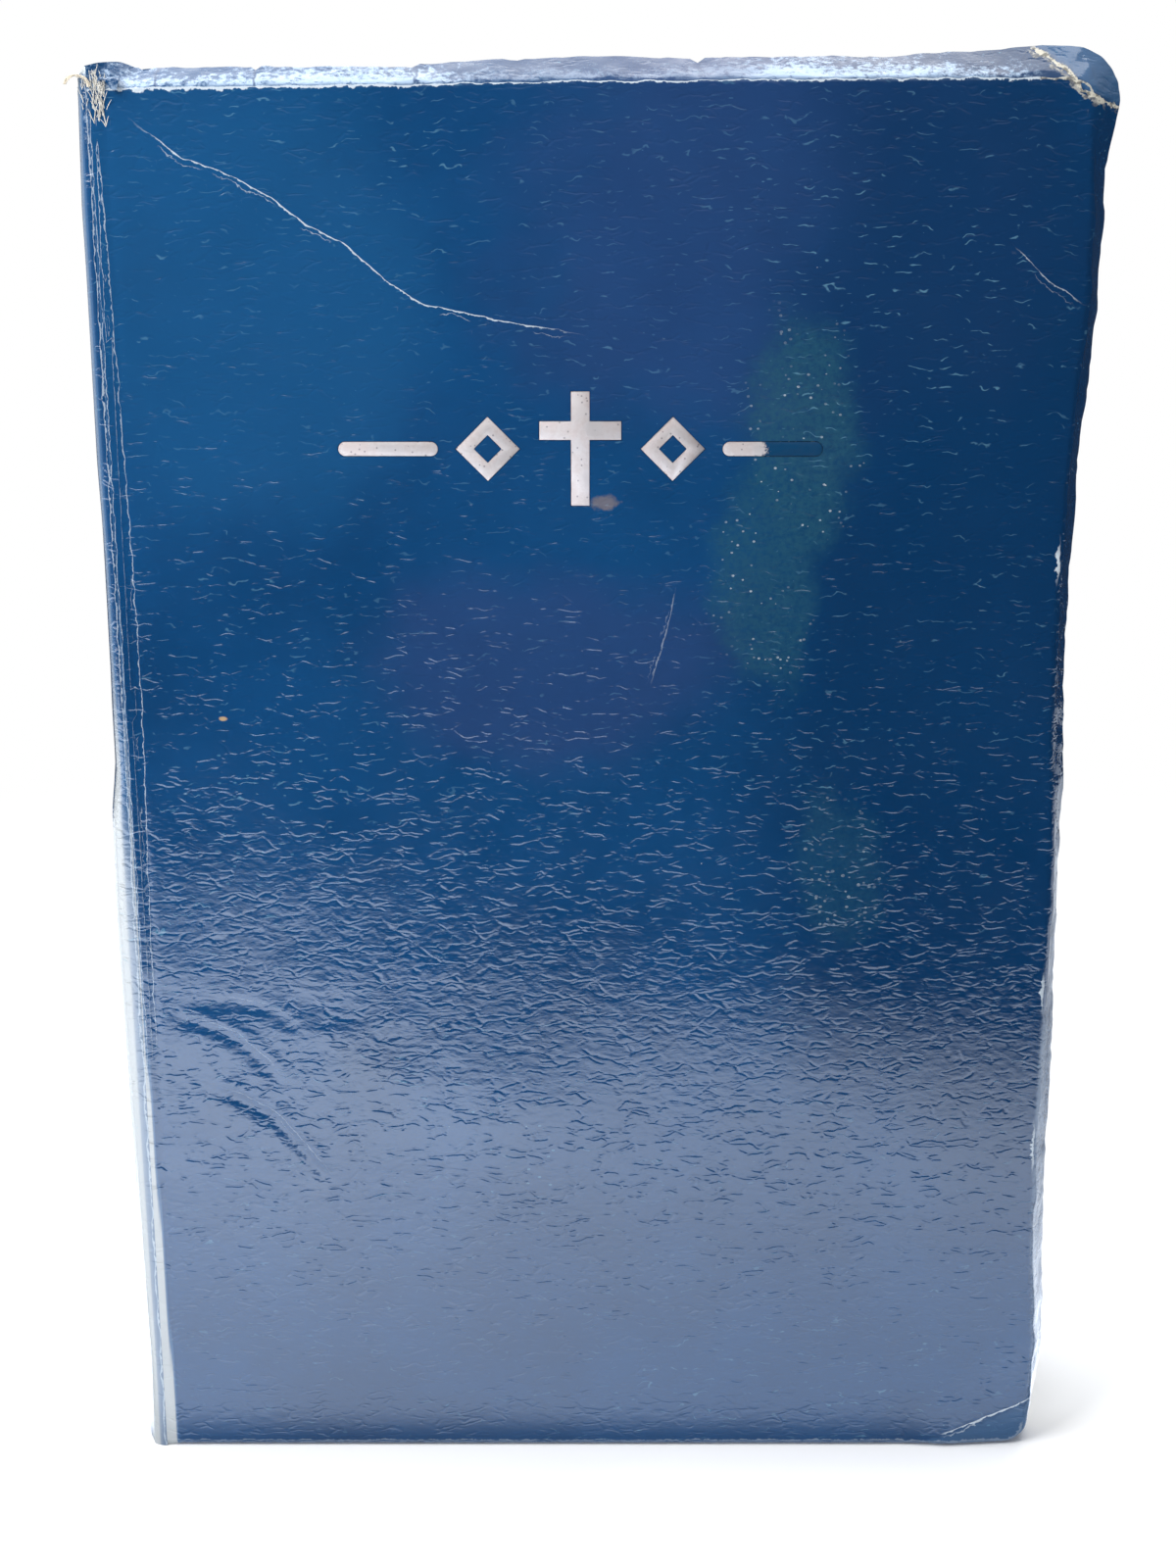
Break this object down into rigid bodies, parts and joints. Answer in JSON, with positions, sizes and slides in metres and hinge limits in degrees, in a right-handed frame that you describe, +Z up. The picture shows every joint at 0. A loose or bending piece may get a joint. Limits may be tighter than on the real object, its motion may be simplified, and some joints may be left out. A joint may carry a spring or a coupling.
{
  "type": "limp-bound bible",
  "caption": "Thick paperback devotional book with a grained blue cover bent round the page edges, a foil-stamped cross, opening covers and fanning leaves.",
  "frame": {"origin": "middle of the bounding box, on the surface that the closed book stands on", "axes": "+Z up the book from tail to head, front cover facing -Y, spine at -X, fore edge at +X"},
  "size_m": [0.141, 0.033, 0.2095],
  "materials": {
    "cover_stock": "leather-grained cover stock under a worn clear gloss film",
    "spine_liner": "plain kraft",
    "spine_mull": "open-weave starched cotton",
    "spine_adhesive": "set binding glue",
    "page_paper": "thin uncoated book paper",
    "endpaper": "uncoated endpaper",
    "stamping_foil": "hot-stamped foil, pinkish silver"
  },
  "bodies": {
    "spine": {"spine_cover": "cover_stock", "spine_liner": "spine_liner", "spine_mull": "spine_mull", "spine_adhesive": "spine_adhesive", "front_bound_edge": "page_paper", "back_bound_edge": "page_paper", "page_section_06": "page_paper", "page_section_07": "page_paper", "page_section_08": "page_paper", "page_section_09": "page_paper", "page_section_10": "page_paper", "page_section_11": "page_paper", "page_section_12": "page_paper", "page_section_13": "page_paper", "page_section_14": "page_paper", "page_section_15": "page_paper"},
    "front_cover": {"front_cover": "cover_stock", "front_pastedown": "endpaper", "foil_cross": "stamping_foil", "foil_lozenge_left": "stamping_foil", "foil_lozenge_right": "stamping_foil", "foil_rule_left": "stamping_foil", "foil_rule_right": "stamping_foil"},
    "front_flyleaf": {"front_flyleaf": "endpaper"},
    "front_leaves_1": {"page_section_01": "page_paper"},
    "front_leaves_2": {"page_section_02": "page_paper"},
    "front_leaves_3": {"page_section_03": "page_paper"},
    "front_leaves_4": {"page_section_04": "page_paper"},
    "front_leaves_5": {"page_section_05": "page_paper"},
    "back_cover": {"back_cover": "cover_stock", "back_pastedown": "endpaper"},
    "back_flyleaf": {"back_flyleaf": "endpaper"},
    "back_leaves_1": {"page_section_20": "page_paper"},
    "back_leaves_2": {"page_section_19": "page_paper"},
    "back_leaves_3": {"page_section_18": "page_paper"},
    "back_leaves_4": {"page_section_17": "page_paper"},
    "back_leaves_5": {"page_section_16": "page_paper"}
  },
  "joints": [
    {"name": "front_cover_hinge", "type": "hinge", "parent": "spine", "child": "front_cover", "pos_m": [-0.06439, -0.01666, 0.103], "axis": [0, 0, -1], "range_deg": [0, 178]},
    {"name": "front_flyleaf_fold", "type": "hinge", "parent": "spine", "child": "front_flyleaf", "pos_m": [-0.06179, -0.01542, 0.103], "axis": [0, 0, -1], "range_deg": [0, 133.5]},
    {"name": "front_leaves_1_fold", "type": "hinge", "parent": "spine", "child": "front_leaves_1", "pos_m": [-0.06179, -0.01497, 0.103], "axis": [0, 0, -1], "range_deg": [0, 89]},
    {"name": "front_leaves_2_fold", "type": "hinge", "parent": "spine", "child": "front_leaves_2", "pos_m": [-0.06179, -0.01347, 0.103], "axis": [0, 0, -1], "range_deg": [0, 71.2]},
    {"name": "front_leaves_3_fold", "type": "hinge", "parent": "spine", "child": "front_leaves_3", "pos_m": [-0.06179, -0.01197, 0.103], "axis": [0, 0, -1], "range_deg": [0, 53.4]},
    {"name": "front_leaves_4_fold", "type": "hinge", "parent": "spine", "child": "front_leaves_4", "pos_m": [-0.06179, -0.01047, 0.103], "axis": [0, 0, -1], "range_deg": [0, 35.6]},
    {"name": "front_leaves_5_fold", "type": "hinge", "parent": "spine", "child": "front_leaves_5", "pos_m": [-0.06179, -0.00897, 0.103], "axis": [0, 0, -1], "range_deg": [0, 17.8]},
    {"name": "back_cover_hinge", "type": "hinge", "parent": "spine", "child": "back_cover", "pos_m": [-0.06439, 0.01666, 0.103], "axis": [0, 0, 1], "range_deg": [0, 178]},
    {"name": "back_flyleaf_fold", "type": "hinge", "parent": "spine", "child": "back_flyleaf", "pos_m": [-0.06179, 0.01542, 0.103], "axis": [0, 0, 1], "range_deg": [0, 133.5]},
    {"name": "back_leaves_1_fold", "type": "hinge", "parent": "spine", "child": "back_leaves_1", "pos_m": [-0.06179, 0.01497, 0.103], "axis": [0, 0, 1], "range_deg": [0, 89]},
    {"name": "back_leaves_2_fold", "type": "hinge", "parent": "spine", "child": "back_leaves_2", "pos_m": [-0.06179, 0.01347, 0.103], "axis": [0, 0, 1], "range_deg": [0, 71.2]},
    {"name": "back_leaves_3_fold", "type": "hinge", "parent": "spine", "child": "back_leaves_3", "pos_m": [-0.06179, 0.01197, 0.103], "axis": [0, 0, 1], "range_deg": [0, 53.4]},
    {"name": "back_leaves_4_fold", "type": "hinge", "parent": "spine", "child": "back_leaves_4", "pos_m": [-0.06179, 0.01047, 0.103], "axis": [0, 0, 1], "range_deg": [0, 35.6]},
    {"name": "back_leaves_5_fold", "type": "hinge", "parent": "spine", "child": "back_leaves_5", "pos_m": [-0.06179, 0.00897, 0.103], "axis": [0, 0, 1], "range_deg": [0, 17.8]}
  ],
  "couplings": [
    {"joint": "front_flyleaf_fold", "follows": "front_cover_hinge", "ratio": 0.75},
    {"joint": "front_leaves_1_fold", "follows": "front_cover_hinge", "ratio": 0.5},
    {"joint": "front_leaves_2_fold", "follows": "front_cover_hinge", "ratio": 0.4},
    {"joint": "front_leaves_3_fold", "follows": "front_cover_hinge", "ratio": 0.3},
    {"joint": "front_leaves_4_fold", "follows": "front_cover_hinge", "ratio": 0.2},
    {"joint": "front_leaves_5_fold", "follows": "front_cover_hinge", "ratio": 0.1},
    {"joint": "back_flyleaf_fold", "follows": "back_cover_hinge", "ratio": 0.75},
    {"joint": "back_leaves_1_fold", "follows": "back_cover_hinge", "ratio": 0.5},
    {"joint": "back_leaves_2_fold", "follows": "back_cover_hinge", "ratio": 0.4},
    {"joint": "back_leaves_3_fold", "follows": "back_cover_hinge", "ratio": 0.3},
    {"joint": "back_leaves_4_fold", "follows": "back_cover_hinge", "ratio": 0.2},
    {"joint": "back_leaves_5_fold", "follows": "back_cover_hinge", "ratio": 0.1}
  ]
}
